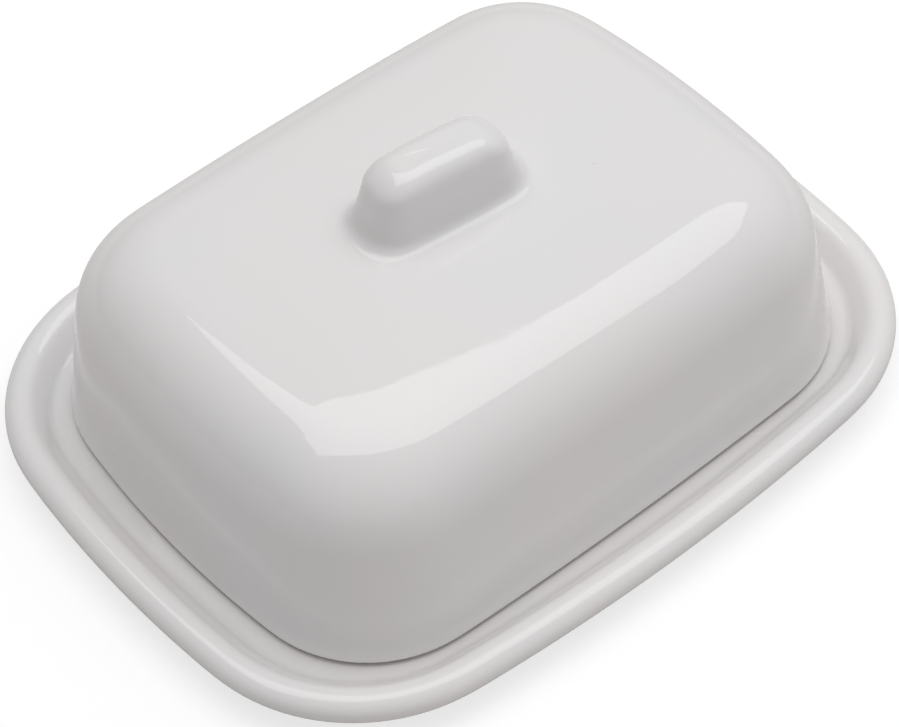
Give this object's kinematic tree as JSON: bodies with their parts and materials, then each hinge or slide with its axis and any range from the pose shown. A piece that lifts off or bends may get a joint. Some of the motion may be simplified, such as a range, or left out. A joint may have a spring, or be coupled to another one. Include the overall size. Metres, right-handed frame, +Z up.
{
  "type": "butter dish",
  "caption": "Glazed white porcelain butter dish: a shallow rounded-rectangular tray with a rolled rim, and a loose hollow lid with soft shoulders and a cast-on grip.",
  "frame": {"origin": "centre of the foot ring, on the surface the dish stands on", "axes": "+X along the long side of the tray, +Y along its short side, +Z up, the way the lid lifts off"},
  "size_m": [0.19, 0.151, 0.0717],
  "materials": {
    "tray_porcelain": "glossy clear glaze over white porcelain, foot ring left unglazed",
    "lid_porcelain": "glossy clear glaze over white porcelain, lower edge left unglazed"
  },
  "bodies": {
    "tray": {"tray": "tray_porcelain"},
    "lid": {"lid": "lid_porcelain"}
  },
  "joints": [
    {"name": "lid_lift", "type": "slide", "parent": "tray", "child": "lid", "axis": [0, 0, 1], "range_m": [0, 0.12]}
  ]
}
